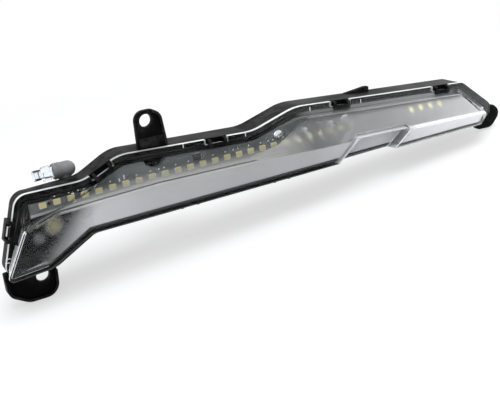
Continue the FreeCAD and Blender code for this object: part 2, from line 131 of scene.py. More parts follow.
def roundEdges(bm, edges, width, segments=2):
    bmesh.ops.bevel(bm, geom=list(edges), offset=width * mm, offset_type="OFFSET", affect="EDGES",
                    segments=segments, profile=0.5, material=-1)


def spinProfile(bm, points, steps):
    # closed turned shape from points given as radius and height, in millimetres
    first = [bm.verts.new((r * mm, h * mm, 0.0)) for r, h in points]
    runs = [bm.edges.new(pair) for pair in zip(first, first[1:])]
    bmesh.ops.spin(bm, geom=first + runs, cent=(0, 0, 0), axis=(0, 1, 0), dvec=(0, 0, 0),
                   angle=math.tau, steps=steps, use_merge=True, use_duplicate=False)
    bmesh.ops.remove_doubles(bm, verts=bm.verts, dist=1e-6)
    bmesh.ops.recalc_face_normals(bm, faces=bm.faces)


def stamp(one, places):
    # the finished small shape, set down at each place
    part = bpy.data.meshes.new("stamp")
    one.to_mesh(part)
    one.free()
    bm = bmesh.new()
    for place in places:
        before = len(bm.verts)
        bm.from_mesh(part)
        bm.verts.ensure_lookup_table()
        bmesh.ops.translate(bm, verts=bm.verts[before:], vec=Vector(place) * mm)
    bpy.data.meshes.remove(part)
    return bm


def onBoard(spots):
    return [(x, lampSet["boardFace"], z) for x, z in spots]


def finishSmall(bm, name, materials, node):
    # small parts are modelled in lamp axes and turned with the row at the end
    bmesh.ops.transform(bm, matrix=lampTurn, verts=bm.verts)
    piece = finishMesh(bm, name, materials)
    if node:
        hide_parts(node)


# Shader groups shared by the finishes
def newGroup(name, ins, outs):
    group = bpy.data.node_groups.new(name, "ShaderNodeTree")
    for label, kind, value in ins:
        socket = group.interface.new_socket(name=label, in_out="INPUT", socket_type=kind)
        socket.default_value = value
    for label, kind in outs:
        group.interface.new_socket(name=label, in_out="OUTPUT", socket_type=kind)
    return group, group.nodes.new("NodeGroupInput"), group.nodes.new("NodeGroupOutput")


def addNode(tree, kind, **values):
    node = tree.nodes.new(kind)
    for key, value in values.items():
        setattr(node, key, value)
    return node


def setInputs(node, values):
    for label, value in values.items():
        node.inputs[label].default_value = value


def mathNode(tree, operation, a, b=None, clamp=False):
    node = addNode(tree, "ShaderNodeMath", operation=operation, use_clamp=clamp)
    for socket, value in zip(node.inputs, (a, b)):
        if value is None:
            continue
        if isinstance(value, (int, float)):
            socket.default_value = value
        else:
            tree.links.new(value, socket)
    return node.outputs[0]


def rangeNode(tree, value, low, high, newLow, newHigh, smooth=False):
    node = addNode(tree, "ShaderNodeMapRange")
    if smooth:
        node.interpolation_type = "SMOOTHSTEP"
    tree.links.new(value, node.inputs["Value"])
    setInputs(node, {"From Min": low, "From Max": high, "To Min": newLow, "To Max": newHigh})
    return node.outputs["Result"]


def spanNode(tree, value, span, low, high, smooth=False):
    # change between two places given in millimetres
    return rangeNode(tree, value, span[0] * mm, span[1] * mm, low, high, smooth)


def times(tree, *values):
    product = values[0]
    for value in values[1:]:
        product = mathNode(tree, "MULTIPLY", product, value)
    return product


def noiseNode(tree, vector, scale, detail=3.0, roughness=0.55):
    node = addNode(tree, "ShaderNodeTexNoise")
    tree.links.new(vector, node.inputs["Vector"])
    if isinstance(scale, (int, float)):
        node.inputs["Scale"].default_value = scale
    else:
        tree.links.new(scale, node.inputs["Scale"])
    setInputs(node, {"Detail": detail, "Roughness": roughness})
    return node.outputs["Fac"]


def makeGrain():
    # moulded skin: fine pimples for bump, slow cloud for shade and roughness
    group, gin, gout = newGroup(
        "moulded grain",
        [("Scale", "NodeSocketFloat", 900.0), ("Cloud", "NodeSocketFloat", 30.0)],
        [("Height", "NodeSocketFloat"), ("Cloud", "NodeSocketFloat")])
    place = addNode(group, "ShaderNodeTexCoord")
    fine = noiseNode(group, place.outputs["Object"], gin.outputs["Scale"], 2.0)
    slow = noiseNode(group, place.outputs["Object"], gin.outputs["Cloud"], 4.0)
    group.links.new(fine, gout.inputs["Height"])
    group.links.new(rangeNode(group, slow, 0.3, 0.7, 0.0, 1.0), gout.inputs["Cloud"])
    return group


def makeWear():
    # rubbed edges, from the mesh's convex edges and a patchy noise
    group, gin, gout = newGroup(
        "rubbed edges",
        [("Reach", "NodeSocketFloat", 0.06), ("Patches", "NodeSocketFloat", 120.0)],
        [("Wear", "NodeSocketFloat")])
    shape = addNode(group, "ShaderNodeNewGeometry")
    place = addNode(group, "ShaderNodeTexCoord")
    patch = noiseNode(group, place.outputs["Object"], gin.outputs["Patches"], 5.0, 0.65)
    edge = mathNode(group, "SUBTRACT", shape.outputs["Pointiness"], 0.5)
    edge = mathNode(group, "DIVIDE", edge, gin.outputs["Reach"], clamp=True)
    group.links.new(times(group, edge, rangeNode(group, patch, 0.4, 0.7, 0.0, 1.0)), gout.inputs["Wear"])
    return group


def makeDust():
    # thin dust that settles on faces looking up
    group, gin, gout = newGroup(
        "settled dust",
        [("Amount", "NodeSocketFloat", 0.3), ("Specks", "NodeSocketFloat", 600.0)],
        [("Dust", "NodeSocketFloat")])
    shape = addNode(group, "ShaderNodeNewGeometry")
    place = addNode(group, "ShaderNodeTexCoord")
    split = addNode(group, "ShaderNodeSeparateXYZ")
    group.links.new(shape.outputs["Normal"], split.inputs[0])
    up = rangeNode(group, split.outputs["Z"], 0.1, 0.9, 0.15, 1.0)
    speck = noiseNode(group, place.outputs["Object"], gin.outputs["Specks"], 6.0, 0.7)
    speck = rangeNode(group, speck, 0.5, 0.8, 0.0, 1.0)
    group.links.new(times(group, up, speck, gin.outputs["Amount"]), gout.inputs["Dust"])
    return group


grainGroup = makeGrain()
wearGroup = makeWear()
dustGroup = makeDust()


def useGroup(tree, group, **values):
    node = addNode(tree, "ShaderNodeGroup")
    node.node_tree = group
    setInputs(node, values)
    return node


def newFinish(name):
    finish = bpy.data.materials.new(name)
    finish.use_nodes = True
    tree = finish.node_tree
    return finish, tree, tree.nodes["Principled BSDF"], tree.nodes["Material Output"]


def blendColour(tree, factor, a, b):
    node = addNode(tree, "ShaderNodeMix", data_type="RGBA")
    tree.links.new(factor, node.inputs["Factor"])
    for socket, value in ((node.inputs["A"], a), (node.inputs["B"], b)):
        if isinstance(value, tuple):
            socket.default_value = value + (1.0,)
        else:
            tree.links.new(value, socket)
    return node.outputs["Result"]


def mixShaders(tree, factor, first, second):
    mix = addNode(tree, "ShaderNodeMixShader")
    for socket, value in zip(mix.inputs, (factor, first, second)):
        tree.links.new(value, socket)
    return mix.outputs[0]


def addBump(tree, shader, height, distance):
    bump = addNode(tree, "ShaderNodeBump")
    setInputs(bump, {"Distance": distance, "Strength": 1.0})
    tree.links.new(height, bump.inputs["Height"])
    tree.links.new(bump.outputs["Normal"], shader.inputs["Normal"])


def plainFinish(name, colour, worn, rough, grain=900.0, depth=0.00002, metal=0.0, cloud=30.0,
                wear=0.0, dust=0.0, shine=0.5):
    # opaque finish: colour drifts between two shades, roughness between two values
    finish, tree, shader = newFinish(name)[:3]
    skin = useGroup(tree, grainGroup, Scale=grain, Cloud=cloud)
    tint = blendColour(tree, skin.outputs["Cloud"], colour, worn)
    if wear > 0.0:
        rub = useGroup(tree, wearGroup, Reach=wear)
        tint = blendColour(tree, rub.outputs["Wear"], tint, tuple(min(1.0, c * 2.2 + 0.03) for c in colour))
    if dust > 0.0:
        film = useGroup(tree, dustGroup, Amount=dust)
        tint = blendColour(tree, film.outputs["Dust"], tint, (0.45, 0.45, 0.44))
    tree.links.new(tint, shader.inputs["Base Color"])
    setInputs(shader, {"Metallic": metal, "Specular IOR Level": shine})
    tree.links.new(rangeNode(tree, skin.outputs["Cloud"], 0.0, 1.0, rough[0], rough[1]),
                   shader.inputs["Roughness"])
    addBump(tree, shader, skin.outputs["Height"], depth)
    return finish


def lampThrough(tree, shader, out, colour):
    # lamps and bounced light pass the clear plastic straight
    path = addNode(tree, "ShaderNodeLightPath")
    clear = addNode(tree, "ShaderNodeBsdfTransparent")
    clear.inputs["Color"].default_value = colour + (1.0,)
    both = mathNode(tree, "MAXIMUM", path.outputs["Is Shadow Ray"], path.outputs["Is Diffuse Ray"])
    tree.links.new(mixShaders(tree, both, shader, clear.outputs[0]), out.inputs["Surface"])


def lampPlace(tree):
    # place in lamp axes with its three parts, and how far the face looks along y
    place = addNode(tree, "ShaderNodeTexCoord")
    turn = addNode(tree, "ShaderNodeMapping")
    turn.inputs["Rotation"].default_value = (0.0, -math.radians(lampSet["stance"]), 0.0)
    tree.links.new(place.outputs["Object"], turn.inputs["Vector"])
    split = addNode(tree, "ShaderNodeSeparateXYZ")
    tree.links.new(turn.outputs["Vector"], split.inputs[0])
    shape = addNode(tree, "ShaderNodeNewGeometry")
    facing = addNode(tree, "ShaderNodeSeparateXYZ")
    tree.links.new(shape.outputs["Normal"], facing.inputs[0])
    ahead = mathNode(tree, "ABSOLUTE", facing.outputs["Y"])
    return turn.outputs["Vector"], split.outputs["X"], split.outputs["Y"], split.outputs["Z"], ahead


# Clear lens: polycarbonate with faint flow ripple, with a grey painted reflection over its roof along the
# crease.
# Places are in lamp axes, and a line is given by x, z and slope.
clearSet = {
    "tint": (0.97, 0.98, 0.985), "ior": 1.15, "rough": (0.0, 0.012), "lamp": (0.93, 0.93, 0.93),
    # painted light: grey painted reflection on the roof, painted sheen on the flange, painted highlight on
    # the strip
    "paintedLight": {
        "y": (-15.5, -21.0), "left": (-78.0, -45.0), "right": (80.0, 112.0), "facing": (0.6, 0.85),
        "level": 0.42, "tint": (0.22, 0.223, 0.212),
        # pale painted sheen on the flange's right half, a painted reflection, stronger below a line that
        # slopes with its top edge, where it stands in for the milky roof reaching higher
        "flange": {
            "y": -8.0, "skin": (0.3, 0.5), "x": (70.0, 118.0), "level": 0.11,
            "line": (110.2, -17.2, -0.0822), "soft": (-0.3, 0.5), "low": 0.6,
            "lowStart": (104.0, 116.0), "lowEnd": (238.0, 248.0), "endShare": 0.25,
            "tintStart": (100.0, 112.0), "tintRun": (112.0, 205.0),
            "tints": ((0.20, 0.205, 0.20), (0.36, 0.37, 0.372)),
        },
        # painted white highlight along the top of the front strip, right of the pocket
        "crestHighlight": {"line": (112.0, -38.7, -0.0467), "deep": (1.7, 2.4), "x": (186.0, 195.0),
                  "y": (-25.6, -25.3), "level": 0.8, "tint": (0.93, 0.94, 0.95)},
    },
}


def underLine(tree, alongX, alongZ, line):
    # how far a place lies below a sloping line
    x, z, slope = line
    lineNow = mathNode(tree, "ADD", times(tree, alongX, slope), (z - slope * x) * mm)
    return mathNode(tree, "SUBTRACT", lineNow, alongZ)


def addPaintedLight(tree, clear, values):
    spot, alongX, alongY, alongZ, ahead = lampPlace(tree)
    # painted reflection: grey over the roof along the crease
    amount = times(tree, spanNode(tree, alongY, values["y"], 0.0, values["level"], True),
                   spanNode(tree, alongX, values["left"], 0.0, 1.0),
                   spanNode(tree, alongX, values["right"], 1.0, 0.0),
                   rangeNode(tree, ahead, *values["facing"], 1.0, 0.0))
    # painted sheen on the flange's right half
    flange = values["flange"]
    away = mathNode(tree, "ABSOLUTE", mathNode(tree, "SUBTRACT", alongY, flange["y"] * mm))
    under = underLine(tree, alongX, alongZ, flange["line"])
    low = times(tree, spanNode(tree, under, flange["soft"], 0.0, flange["low"]),
                spanNode(tree, alongX, flange["lowStart"], 0.0, 1.0),
                spanNode(tree, alongX, flange["lowEnd"], 1.0, flange["endShare"]))
    paintedSheen = mathNode(tree, "MAXIMUM", spanNode(tree, alongX, flange["x"], 0.0, flange["level"]), low)
    paintedSheen = times(tree, paintedSheen, spanNode(tree, away, flange["skin"], 1.0, 0.0))
    # painted white highlight along the top of the front strip
    crestHighlight = values["crestHighlight"]
    under = underLine(tree, alongX, alongZ, crestHighlight["line"])
    bright = times(tree, spanNode(tree, under, crestHighlight["deep"], crestHighlight["level"], 0.0),
                   spanNode(tree, alongX, crestHighlight["x"], 0.0, 1.0),
                   spanNode(tree, alongY, crestHighlight["y"], 1.0, 0.0))
    amount = mathNode(tree, "MAXIMUM", mathNode(tree, "MAXIMUM", amount, paintedSheen), bright)
    # one grey shader over the clear lens carries the painted reflection, the painted sheen and the painted
    # highlight
    paintedLight = addNode(tree, "ShaderNodeBsdfPrincipled")
    cloud = noiseNode(tree, spot, 120.0)
    tint = blendColour(tree, cloud, values["tint"], tuple(c * 0.85 for c in values["tint"]))
    # the painted sheen turns paler towards the right
    brighter = blendColour(tree, spanNode(tree, alongX, flange["tintRun"], 0.0, 1.0), *flange["tints"])
    tint = blendColour(tree, spanNode(tree, alongX, flange["tintStart"], 0.0, 1.0), tint, brighter)
    tint = blendColour(tree, rangeNode(tree, bright, 0.0, 0.1, 0.0, 1.0), tint, crestHighlight["tint"])
    tree.links.new(tint, paintedLight.inputs["Base Color"])
    setInputs(paintedLight, {"Roughness": 0.5, "Specular IOR Level": 0.1})
    return mixShaders(tree, amount, clear, paintedLight.outputs[0])


def makeClear(name, values):
    finish, tree, shader, out = newFinish(name)
    skin = useGroup(tree, grainGroup, Scale=160.0, Cloud=45.0)
    shade = tuple(c * 0.985 for c in values["tint"])
    tint = blendColour(tree, skin.outputs["Cloud"], values["tint"], shade)
    tree.links.new(tint, shader.inputs["Base Color"])
    rough = rangeNode(tree, skin.outputs["Cloud"], 0.0, 1.0, *values["rough"])
    tree.links.new(rough, shader.inputs["Roughness"])
    setInputs(shader, {"Transmission Weight": 1.0, "IOR": values["ior"]})
    addBump(tree, shader, skin.outputs["Height"], 0.000001)
    surface = shader.outputs[0]
    if "paintedLight" in values:
        surface = addPaintedLight(tree, surface, values["paintedLight"])
    lampThrough(tree, surface, out, values["lamp"])
    return finish


# Painted highlight on the edges of clear plastic: white from outside, dark from inside
edgeHighlightSet = {"tint": (0.70, 0.72, 0.73), "inside": (0.012, 0.012, 0.013), "rough": (0.25, 0.45),
           # greyer stretch of the painted rim highlight
           "calm": {"middle": -32.0, "reach": (30.0, 48.0), "level": 0.55, "tint": (0.12, 0.12, 0.125)}}


def makeEdge(name, values):
    finish, tree, shader, out = newFinish(name)
    skin = useGroup(tree, grainGroup, Scale=700.0, Cloud=90.0)
    shape = addNode(tree, "ShaderNodeNewGeometry")
    shade = tuple(c * 0.7 for c in values["tint"])
    tint = blendColour(tree, skin.outputs["Cloud"], values["tint"], shade)
    if "calm" in values:
        calm = values["calm"]
        alongX = lampPlace(tree)[1]
        away = mathNode(tree, "ABSOLUTE", mathNode(tree, "SUBTRACT", alongX, calm["middle"] * mm))
        tint = blendColour(tree, spanNode(tree, away, calm["reach"], calm["level"], 0.0), tint, calm["tint"])
    # seen from inside, the painted edge turns dark
    tint = blendColour(tree, shape.outputs["Backfacing"], tint, values["inside"])
    tree.links.new(tint, shader.inputs["Base Color"])
    rough = rangeNode(tree, skin.outputs["Cloud"], 0.0, 1.0, *values["rough"])
    tree.links.new(rough, shader.inputs["Roughness"])
    addBump(tree, shader, skin.outputs["Height"], 0.00001)
    lampThrough(tree, shader.outputs[0], out, (0.5, 0.5, 0.5))
    return finish


# Frosted inner lens: clear at the left end, speckled over, milky to the right.
# Pairs of places are in lamp axes, and a value changes from one to the other.
frostSet = {
    # x and shade of the milk
    "shades": ((-80, 0.30), (-48, 0.56), (-10, 0.45), (60, 0.41),
               (110, 0.42), (150, 0.56), (200, 0.76), (260, 0.93)),
    "shadeRun": (-90.0, 290.0),
    "roofShift": -58.0,      # the roof reads the shades this far to the left
    "roofShiftX": (60.0, 130.0),
    "start": (-86.0, -46.0),     # x where the frost begins on the front strip at z -50, and where it is full
    "slant": 0.9,            # how far that start leans to the left lower down
    "frontMilk": 0.92,
    "frontY": (-21.5, -20.5), "pocketX": (114.0, 118.0),
    "bandMilk": (0.10, 0.74), "bandX": (-85.0, -50.0),     # strip of roof below the LEDs
    "roofMilk": (0.05, 0.37, 0.46), "roofX": (95.0, 150.0, 250.0),
    "wave": (60.0, 112.0),   # x where the roof's rear edge rises
    "edge": (-18.9, -8.0),   # y of that edge on both sides of the wave
    "fade": (3.2, 3.5), "fadeX": (55.0, 100.0),    # length of the roof's fade at its rear edge
    # painted shade: dark margin along the lower edge, which bends down twice towards the left end
    "border": (0.6, 1.5), "borderStart": (-84.0, -50.0), "borderEnd": (127.0, 129.0),
    "shadeTint": (0.030, 0.031, 0.032), "lowEdge": -52.2,
    "bends": ((-80.6, -53.2, -14.4), (-103.4, -80.6, -1.4)),
    "clearTints": ((0.93, 0.94, 0.95), (0.88, 0.89, 0.90)), "lamp": (0.62, 0.62, 0.62),
    # painted glow of the unlit LEDs on the roof: offset from the row, y of the spots along x, and where they
    # show
    "row": {"shift": -3.6, "y": (-16.8, -12.5), "yRun": (120.0, 214.0), "reach": 4.0, "levels": (0.5, 1.0),
            "near": ((86.0, 94.0), (112.0, 165.0)), "far": ((194.0, 197.0), (231.0, 234.0)),
            "tint": (0.80, 0.77, 0.53)},
    # painted reflection of the first LEDs, yellow, and a painted bluish highlight, both at the left end
    "paintedGlow": {"at": (-74.0, -23.5, -44.0), "reach": 8.0, "tint": (0.21, 0.175, 0.035), "level": 0.8},
    "paintedGleam": {"at": (-84.0, -23.5, -49.5), "reach": 5.5, "tint": (0.17, 0.195, 0.20), "level": 0.35},
}


def softSpot(tree, vector, spot):
    # one at the spot, fading to nothing at its reach
    away = addNode(tree, "ShaderNodeVectorMath", operation="DISTANCE")
    tree.links.new(vector, away.inputs[0])
    away.inputs[1].default_value = tuple(c * mm for c in spot["at"])
    return rangeNode(tree, away.outputs["Value"], 0.0, spot["reach"] * mm, spot["level"], 0.0, True)


def paintedLedSpots(tree, alongX, alongY, values):
    # painted LED glow: soft spots at the LED pitch along the roof
    pitch = lampSet["ledPitch"] * mm
    start = (lampSet["ledFirst"] + values["shift"]) * mm
    turnNumber = mathNode(tree, "DIVIDE", mathNode(tree, "SUBTRACT", alongX, start - pitch / 2), pitch)
    aside = mathNode(tree, "SUBTRACT", mathNode(tree, "FRACT", turnNumber), 0.5)
    aside = times(tree, aside, pitch)
    level = spanNode(tree, alongX, values["yRun"], values["y"][0] * mm, values["y"][1] * mm)
    ahead = times(tree, mathNode(tree, "SUBTRACT", alongY, level), 1.1)
    away = mathNode(tree, "ADD", times(tree, aside, aside), times(tree, ahead, ahead))
    spots = spanNode(tree, mathNode(tree, "SQRT", away), (0.0, values["reach"]), 1.0, 0.0, True)
    near = times(tree, spanNode(tree, alongX, values["near"][1], values["levels"][0], 0.0),
                 spanNode(tree, alongX, values["near"][0], 0.0, 1.0))
    far = times(tree, spanNode(tree, alongX, values["far"][0], 0.0, values["levels"][1]),
                spanNode(tree, alongX, values["far"][1], 1.0, 0.0))
    return times(tree, spots, mathNode(tree, "ADD", near, far))


def mixValues(tree, factor, a, b):
    node = addNode(tree, "ShaderNodeMix", data_type="FLOAT")
    for socket, value in (("Factor", factor), ("A", a), ("B", b)):
        tree.links.new(value, node.inputs[socket])
    return node.outputs["Result"]


def frostShadeMargin(tree, alongX, alongZ, values):
    # one inside the painted dark margin above the strip's lower edge
    edge = values["lowEdge"] * mm
    for left, right, drop in values["bends"]:
        edge = mathNode(tree, "ADD", spanNode(tree, alongX, (left, right), drop * mm, 0.0), edge)
    thin, thick = values["border"]
    margin = spanNode(tree, alongX, values["borderStart"], thin * mm, thick * mm)
    rise = mathNode(tree, "SUBTRACT", mathNode(tree, "SUBTRACT", alongZ, edge), margin)
    return times(tree, spanNode(tree, rise, (-0.2, 0.2), 1.0, 0.0),
                 spanNode(tree, alongX, values["borderEnd"], 1.0, 0.0))


def makeFrost(name, values):
    finish, tree, shader, out = newFinish(name)
    spot, alongX, alongY, alongZ, ahead = lampPlace(tree)
    ledge = mathNode(tree, "MAXIMUM", spanNode(tree, alongX, values["pocketX"], 0.0, 1.0),
                     spanNode(tree, alongY, values["frontY"], 1.0, 0.0))
    front = times(tree, ledge, rangeNode(tree, ahead, 0.94, 0.985, 0.0, 1.0))
    # painted shade: the milk thins along the crease bevel, which reads as a dark line
    crease = mathNode(tree, "ABSOLUTE", mathNode(tree, "SUBTRACT", ahead, 0.88))
    crease = rangeNode(tree, crease, 0.05, 0.09, 0.4, 1.0)
    speck = noiseNode(tree, spot, 900.0, 3.0, 0.7)
    cloud = noiseNode(tree, spot, 60.0, 4.0, 0.6)
    # front strip: speckled start, then even
    lean = times(tree, mathNode(tree, "ADD", alongZ, 50.0 * mm), values["slant"])
    along = spanNode(tree, mathNode(tree, "SUBTRACT", alongX, lean), values["start"], 0.0, 1.0)
    grit = times(tree, mathNode(tree, "SUBTRACT", speck, 0.5), 0.6)
    strip = rangeNode(tree, mathNode(tree, "ADD", along, grit), 0.22, 0.95, 0.0, values["frontMilk"], True)
    # roof: fades towards its rear edge
    edge = spanNode(tree, alongX, values["wave"], values["edge"][0] * mm, values["edge"][1] * mm)
    soft = spanNode(tree, alongX, values["fadeX"], values["fade"][0] * mm, values["fade"][1] * mm)
    fade = mathNode(tree, "DIVIDE", mathNode(tree, "SUBTRACT", edge, alongY), soft, clamp=True)
    low, middle, high = values["roofMilk"]
    wide = mathNode(tree, "ADD", spanNode(tree, alongX, values["roofX"][:2], low, middle),
                    spanNode(tree, alongX, values["roofX"][1:], 0.0, high - middle))
    narrow = spanNode(tree, alongX, values["bandX"], *values["bandMilk"])
    roof = mixValues(tree, spanNode(tree, alongX, values["wave"], 0.0, 1.0), narrow, wide)
    amount = mixValues(tree, front, times(tree, roof, fade), strip)
    drift = times(tree, rangeNode(tree, cloud, 0.3, 0.7, 0.94, 1.06), crease)
    even = mathNode(tree, "MULTIPLY", amount, drift, clamp=True)
    # milk shade along the row, then the painted LED glow, the painted reflection and the painted highlight
    shades = addNode(tree, "ShaderNodeValToRGB")
    stops = shades.color_ramp.elements
    first, last = values["shadeRun"]
    while len(stops) < len(values["shades"]):
        stops.new(0.5)
    for stop, (x, level) in zip(stops, values["shades"]):
        stop.position = (x - first) / (last - first)
        stop.color = (level, level * 1.012, level * 1.02, 1.0)
    behind = rangeNode(tree, front, 0.0, 1.0, values["roofShift"] * mm, 0.0)
    behind = times(tree, behind, spanNode(tree, alongX, values["roofShiftX"], 0.0, 1.0))
    reach = mathNode(tree, "ADD", alongX, behind)
    tree.links.new(spanNode(tree, reach, values["shadeRun"], 0.0, 1.0), shades.inputs[0])
    # painted glow of the unlit LEDs, kept off the front strip
    paintedLedGlow = times(tree, paintedLedSpots(tree, alongX, alongY, values["row"]), mathNode(tree, "SUBTRACT", 1.0, front))
    tint = blendColour(tree, paintedLedGlow, shades.outputs["Color"], values["row"]["tint"])
    milk = mathNode(tree, "MAXIMUM", even, times(tree, paintedLedGlow, 0.9))
    # painted reflection and painted highlight at the left end
    for label in ("paintedGlow", "paintedGleam"):
        near = softSpot(tree, spot, values[label])
        tint = blendColour(tree, near, tint, values[label]["tint"])
        milk = mathNode(tree, "MAXIMUM", milk, times(tree, near, 0.9))
    # painted shade along the strip's lower edge
    border = frostShadeMargin(tree, alongX, alongZ, values)
    tint = blendColour(tree, border, tint, values["shadeTint"])
    milk = mathNode(tree, "MAXIMUM", milk, border)
    # clear part: glass whose roughness follows the frost
    glass = addNode(tree, "ShaderNodeBsdfPrincipled")
    setInputs(glass, {"Transmission Weight": 1.0, "IOR": 1.18})
    tree.links.new(rangeNode(tree, even, 0.0, 0.16, 0.06, 0.36), glass.inputs["Roughness"])
    tree.links.new(blendColour(tree, cloud, *values["clearTints"]), glass.inputs["Base Color"])
    # milky part
    tree.links.new(tint, shader.inputs["Base Color"])
    tree.links.new(rangeNode(tree, speck, 0.3, 0.7, 0.34, 0.5), shader.inputs["Roughness"])
    shader.inputs["Specular IOR Level"].default_value = 0.3
    addBump(tree, shader, speck, 0.00003)
    # towards the roof's rear edge the sheet thins out to nothing
    thin = addNode(tree, "ShaderNodeBsdfTransparent")
    body = mathNode(tree, "MULTIPLY", fade, 2.5, clamp=True)
    body = mathNode(tree, "MAXIMUM", body, front)
    sheet = mixShaders(tree, body, thin.outputs[0], glass.outputs[0])
    lampThrough(tree, mixShaders(tree, milk, sheet, shader.outputs[0]), out, values["lamp"])
    return finish


clearLens = makeClear("clear lens", clearSet)
clearTube = makeClear("clear tube", {"tint": (0.93, 0.96, 0.99), "ior": 1.45, "rough": (0.03, 0.12),
                                     "lamp": (0.85, 0.87, 0.9)})
# white painted highlight on the lens rim and its ribs
lensEdgeHighlight = makeEdge("lens edge painted highlight", edgeHighlightSet)
# pale painted highlight on ridges, notches, pocket walls and the lower wall right of the pocket
lensRidgeHighlight = makeEdge("lens ridge painted highlight", {"tint": (0.78, 0.80, 0.81), "inside": (0.55, 0.565, 0.57),
                                   "rough": (0.2, 0.4)})
# painted shade: dark on the cup's lower wall left of the pocket and along the roof crease
lensPaintedShade = makeEdge("lens painted shade", {"tint": (0.040, 0.041, 0.042), "inside": (0.040, 0.041, 0.042),
                                     "rough": (0.4, 0.55)})
# white painted highlight on the frosted piece's left edges
frostEdgeHighlight = makeEdge("frost edge painted highlight", {"tint": (0.80, 0.81, 0.82), "inside": (0.3, 0.3, 0.31),
                                    "rough": (0.2, 0.4)})
frosted = makeFrost("frosted plastic", frostSet)
housingBlack = plainFinish("housing black", (0.0016, 0.0016, 0.0018), (0.003, 0.003, 0.0033), (0.28, 0.48),
    grain=1400.0, depth=0.00002, wear=0.05, dust=0.012, shine=0.02)
trimBlack = plainFinish("trim black", (0.010, 0.010, 0.011), (0.016, 0.016, 0.017), (0.10, 0.22),
    grain=500.0, depth=0.000006, shine=0.25)
sealGrey = plainFinish("seal bead", (0.03, 0.03, 0.032), (0.05, 0.05, 0.05), (0.4, 0.6),
    grain=300.0, depth=0.00006)
maskDark = plainFinish("board mask", (0.085, 0.098, 0.099), (0.105, 0.118, 0.120), (0.30, 0.44),
    grain=450.0, depth=0.00001)
padWhite = plainFinish("board print", (0.80, 0.80, 0.78), (0.68, 0.68, 0.67), (0.45, 0.6),
    grain=800.0, depth=0.000008)
padTin = plainFinish("solder pads", (0.66, 0.66, 0.65), (0.50, 0.50, 0.50), (0.22, 0.4),
    grain=900.0, depth=0.00001, metal=1.0)
carrierMetal = plainFinish("carrier aluminium", (0.50, 0.50, 0.51), (0.40, 0.40, 0.41), (0.3, 0.5),
    grain=600.0, depth=0.00001, metal=1.0)
ledWhite = plainFinish("led body", (0.56, 0.54, 0.42), (0.50, 0.48, 0.37), (0.35, 0.5),
    grain=1500.0, depth=0.000006)
ledYellow = plainFinish("led phosphor", (0.62, 0.54, 0.22), (0.55, 0.47, 0.18), (0.3, 0.45),
    grain=2500.0, depth=0.00002, cloud=500.0)
ceramic = plainFinish("chip ceramic", (0.05, 0.05, 0.052), (0.08, 0.08, 0.08), (0.35, 0.5),
    grain=900.0, depth=0.00001)
chipBlack = plainFinish("chip black", (0.02, 0.02, 0.021), (0.035, 0.035, 0.036), (0.4, 0.55),
    grain=1600.0, depth=0.00002)
canMetal = plainFinish("can aluminium", (0.72, 0.73, 0.74), (0.62, 0.63, 0.64), (0.2, 0.34),
    grain=700.0, depth=0.00001, metal=1.0)
screwSteel = plainFinish("screw steel", (0.74, 0.75, 0.76), (0.60, 0.61, 0.62), (0.14, 0.3),
    grain=500.0, depth=0.00001, metal=1.0, wear=0.05)
headerCream = plainFinish("header plastic", (0.62, 0.60, 0.52), (0.54, 0.52, 0.45), (0.4, 0.55),
    grain=900.0, depth=0.00001)
leadRed = plainFinish("lead insulation", (0.30, 0.03, 0.025), (0.22, 0.02, 0.02), (0.35, 0.5),
    grain=600.0, depth=0.00001)
socketBlack = plainFinish("socket plastic", (0.018, 0.018, 0.019), (0.030, 0.030, 0.031), (0.35, 0.5),
    grain=1100.0, depth=0.00002, wear=0.05, dust=0.06)
bladeBrass = plainFinish("blade brass", (0.62, 0.54, 0.38), (0.50, 0.42, 0.28), (0.2, 0.35),
    grain=500.0, depth=0.00001, metal=1.0)
gasketRubber = plainFinish("gasket rubber", (0.035, 0.035, 0.035), (0.05, 0.05, 0.05), (0.6, 0.8),
    grain=800.0, depth=0.00004)
ventRubber = plainFinish("vent rubber", (0.12, 0.125, 0.13), (0.17, 0.175, 0.18), (0.5, 0.68),
    grain=700.0, depth=0.00004, dust=0.25)
print("finishes made:", len(bpy.data.materials))


# Clear outer lens
lensPiece = {
    "round": 0.45, "lift": 0.04, "tip": (255.5, -26.0, -54.8),
    "cuts": (-24.8, -10.0), "plain": ((-10.2, 5.0),),
    "topZ": -46.0, "endX": -85.0, "cutX": -80.0,   # limits of the painted white rim highlight, its left end and the notches
    "darkEnds": (-86.0, -88.0),   # x of the painted dark crease's left end and of the left ridge
    "bright": 112.0, "foot": 119.0, "footHigh": 2.6,   # ridges and lower wall take the pale painted highlight right of these
    "lowEdge": {"z": -54.8, "bendX": -53.2, "bendLong": 27.4, "bendDrop": 14.4,
                "tipX": -85.0, "tipDrop": 2.0},
    "pocket": {"left": 116.0, "wall": 148.0, "right": 195.0, "y": (-25.5, -17.2), "shelfZ": -46.0},
}


def lowEdgeAt(x):
    # height of the front strip's lower edge
    edge = lensPiece["lowEdge"]
    bend = min(max((x - edge["bendX"]) / edge["bendLong"], -1.0), 0.0)
    return edge["z"] + edge["bendDrop"] * bend - (edge["tipDrop"] if x < edge["tipX"] else 0.0)


